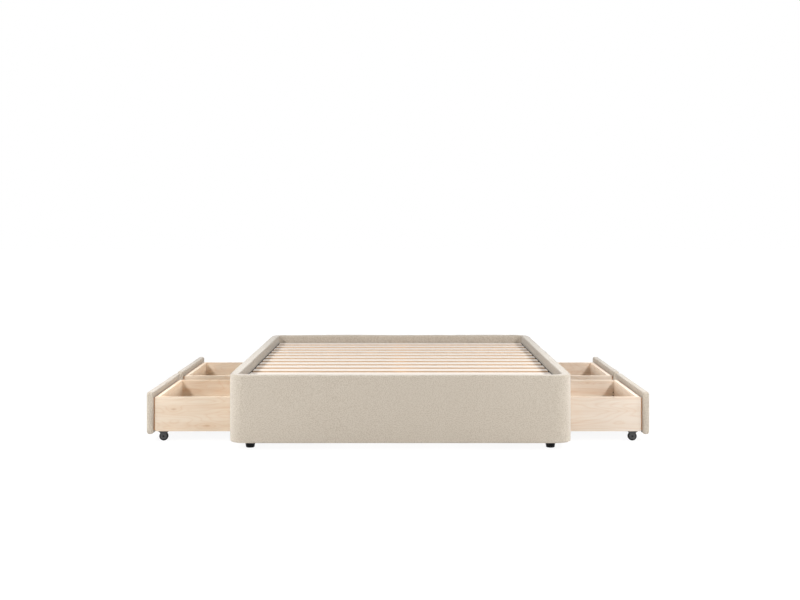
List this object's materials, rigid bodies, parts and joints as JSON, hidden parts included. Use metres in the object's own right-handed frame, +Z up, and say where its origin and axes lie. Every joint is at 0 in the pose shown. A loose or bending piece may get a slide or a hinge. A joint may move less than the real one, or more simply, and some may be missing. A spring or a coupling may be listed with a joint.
{
  "type": "divan bed",
  "caption": "Upholstered divan bed base with a padded rim, a slatted top and rolling drawers in both sides, standing open.",
  "frame": {"origin": "on the floor, centre of the foot of the middle centre leg, midway between the two sides and the two ends of the base", "axes": "+Z up, +Y towards the head end, +X to the right seen from the foot end; the drawers open along +X and -X"},
  "size_m": [2.457, 2.13, 0.355],
  "materials": {
    "fabric": "soft beige woven fabric, matt",
    "panel_board": "plain board, matt",
    "slat_wood": "pale planed pine, matt",
    "drawer_wood": "pale pine with grain and small knots, satin",
    "frame_wood": "planed pine, matt",
    "black_metal": "black powder coat",
    "black_plastic": "moulded black plastic",
    "wheel_rubber": "black tyre on a dark grey wheel",
    "zinc_steel": "zinc plated"
  },
  "bodies": {
    "base": {"foot_cover": "fabric", "head_cover": "fabric", "left_cover": "fabric", "right_cover": "fabric", "foot_board": "panel_board", "head_board": "panel_board", "left_board": "panel_board", "right_board": "panel_board", "side_ledgers": "black_metal", "slats": "slat_wood", "centre_beam": "frame_wood", "beam_hangers": "zinc_steel", "centre_legs": "black_metal", "frame_posts": "frame_wood", "panel_bolts": "zinc_steel", "glides": "black_plastic"},
    "left_front_drawer": {"left_front_drawer_pad": "fabric", "left_front_drawer_panel": "panel_board", "left_front_box_front": "drawer_wood", "left_front_box_sides": "drawer_wood", "left_front_box_back": "drawer_wood", "left_front_box_bottom": "drawer_wood", "left_front_castors": "black_plastic"},
    "left_front_wheel_1": {"left_front_wheel_1": "wheel_rubber"},
    "left_front_wheel_2": {"left_front_wheel_2": "wheel_rubber"},
    "left_front_wheel_3": {"left_front_wheel_3": "wheel_rubber"},
    "left_front_wheel_4": {"left_front_wheel_4": "wheel_rubber"},
    "left_rear_drawer": {"left_rear_drawer_pad": "fabric", "left_rear_drawer_panel": "panel_board", "left_rear_box_front": "drawer_wood", "left_rear_box_sides": "drawer_wood", "left_rear_box_back": "drawer_wood", "left_rear_box_bottom": "drawer_wood", "left_rear_castors": "black_plastic"},
    "left_rear_wheel_1": {"left_rear_wheel_1": "wheel_rubber"},
    "left_rear_wheel_2": {"left_rear_wheel_2": "wheel_rubber"},
    "left_rear_wheel_3": {"left_rear_wheel_3": "wheel_rubber"},
    "left_rear_wheel_4": {"left_rear_wheel_4": "wheel_rubber"},
    "right_front_drawer": {"right_front_drawer_pad": "fabric", "right_front_drawer_panel": "panel_board", "right_front_box_front": "drawer_wood", "right_front_box_sides": "drawer_wood", "right_front_box_back": "drawer_wood", "right_front_box_bottom": "drawer_wood", "right_front_castors": "black_plastic"},
    "right_front_wheel_1": {"right_front_wheel_1": "wheel_rubber"},
    "right_front_wheel_2": {"right_front_wheel_2": "wheel_rubber"},
    "right_front_wheel_3": {"right_front_wheel_3": "wheel_rubber"},
    "right_front_wheel_4": {"right_front_wheel_4": "wheel_rubber"},
    "right_rear_drawer": {"right_rear_drawer_pad": "fabric", "right_rear_drawer_panel": "panel_board", "right_rear_box_front": "drawer_wood", "right_rear_box_sides": "drawer_wood", "right_rear_box_back": "drawer_wood", "right_rear_box_bottom": "drawer_wood", "right_rear_castors": "black_plastic"},
    "right_rear_wheel_1": {"right_rear_wheel_1": "wheel_rubber"},
    "right_rear_wheel_2": {"right_rear_wheel_2": "wheel_rubber"},
    "right_rear_wheel_3": {"right_rear_wheel_3": "wheel_rubber"},
    "right_rear_wheel_4": {"right_rear_wheel_4": "wheel_rubber"}
  },
  "joints": [
    {"name": "left_front_drawer_slide", "type": "slide", "parent": "base", "child": "left_front_drawer", "axis": [-1, 0, 0], "range_m": [-0.43, 0.2]},
    {"name": "left_front_wheel_1_spin", "type": "hinge", "parent": "left_front_drawer", "child": "left_front_wheel_1", "pos_m": [-1.163, -0.784, 0.022], "axis": [0, 1, 0], "continuous": true},
    {"name": "left_front_wheel_2_spin", "type": "hinge", "parent": "left_front_drawer", "child": "left_front_wheel_2", "pos_m": [-1.163, -0.15, 0.022], "axis": [0, 1, 0], "continuous": true},
    {"name": "left_front_wheel_3_spin", "type": "hinge", "parent": "left_front_drawer", "child": "left_front_wheel_3", "pos_m": [-0.583, -0.784, 0.022], "axis": [0, 1, 0], "continuous": true},
    {"name": "left_front_wheel_4_spin", "type": "hinge", "parent": "left_front_drawer", "child": "left_front_wheel_4", "pos_m": [-0.583, -0.15, 0.022], "axis": [0, 1, 0], "continuous": true},
    {"name": "left_rear_drawer_slide", "type": "slide", "parent": "base", "child": "left_rear_drawer", "axis": [-1, 0, 0], "range_m": [-0.43, 0.2]},
    {"name": "left_rear_wheel_1_spin", "type": "hinge", "parent": "left_rear_drawer", "child": "left_rear_wheel_1", "pos_m": [-1.163, 0.073, 0.022], "axis": [0, 1, 0], "continuous": true},
    {"name": "left_rear_wheel_2_spin", "type": "hinge", "parent": "left_rear_drawer", "child": "left_rear_wheel_2", "pos_m": [-1.163, 0.707, 0.022], "axis": [0, 1, 0], "continuous": true},
    {"name": "left_rear_wheel_3_spin", "type": "hinge", "parent": "left_rear_drawer", "child": "left_rear_wheel_3", "pos_m": [-0.583, 0.073, 0.022], "axis": [0, 1, 0], "continuous": true},
    {"name": "left_rear_wheel_4_spin", "type": "hinge", "parent": "left_rear_drawer", "child": "left_rear_wheel_4", "pos_m": [-0.583, 0.707, 0.022], "axis": [0, 1, 0], "continuous": true},
    {"name": "right_front_drawer_slide", "type": "slide", "parent": "base", "child": "right_front_drawer", "axis": [1, 0, 0], "range_m": [-0.407, 0.223]},
    {"name": "right_front_wheel_1_spin", "type": "hinge", "parent": "right_front_drawer", "child": "right_front_wheel_1", "pos_m": [1.14, -0.784, 0.022], "axis": [0, 1, 0], "continuous": true},
    {"name": "right_front_wheel_2_spin", "type": "hinge", "parent": "right_front_drawer", "child": "right_front_wheel_2", "pos_m": [1.14, -0.15, 0.022], "axis": [0, 1, 0], "continuous": true},
    {"name": "right_front_wheel_3_spin", "type": "hinge", "parent": "right_front_drawer", "child": "right_front_wheel_3", "pos_m": [0.56, -0.784, 0.022], "axis": [0, 1, 0], "continuous": true},
    {"name": "right_front_wheel_4_spin", "type": "hinge", "parent": "right_front_drawer", "child": "right_front_wheel_4", "pos_m": [0.56, -0.15, 0.022], "axis": [0, 1, 0], "continuous": true},
    {"name": "right_rear_drawer_slide", "type": "slide", "parent": "base", "child": "right_rear_drawer", "axis": [1, 0, 0], "range_m": [-0.407, 0.223]},
    {"name": "right_rear_wheel_1_spin", "type": "hinge", "parent": "right_rear_drawer", "child": "right_rear_wheel_1", "pos_m": [1.14, 0.073, 0.022], "axis": [0, 1, 0], "continuous": true},
    {"name": "right_rear_wheel_2_spin", "type": "hinge", "parent": "right_rear_drawer", "child": "right_rear_wheel_2", "pos_m": [1.14, 0.707, 0.022], "axis": [0, 1, 0], "continuous": true},
    {"name": "right_rear_wheel_3_spin", "type": "hinge", "parent": "right_rear_drawer", "child": "right_rear_wheel_3", "pos_m": [0.56, 0.073, 0.022], "axis": [0, 1, 0], "continuous": true},
    {"name": "right_rear_wheel_4_spin", "type": "hinge", "parent": "right_rear_drawer", "child": "right_rear_wheel_4", "pos_m": [0.56, 0.707, 0.022], "axis": [0, 1, 0], "continuous": true}
  ]
}
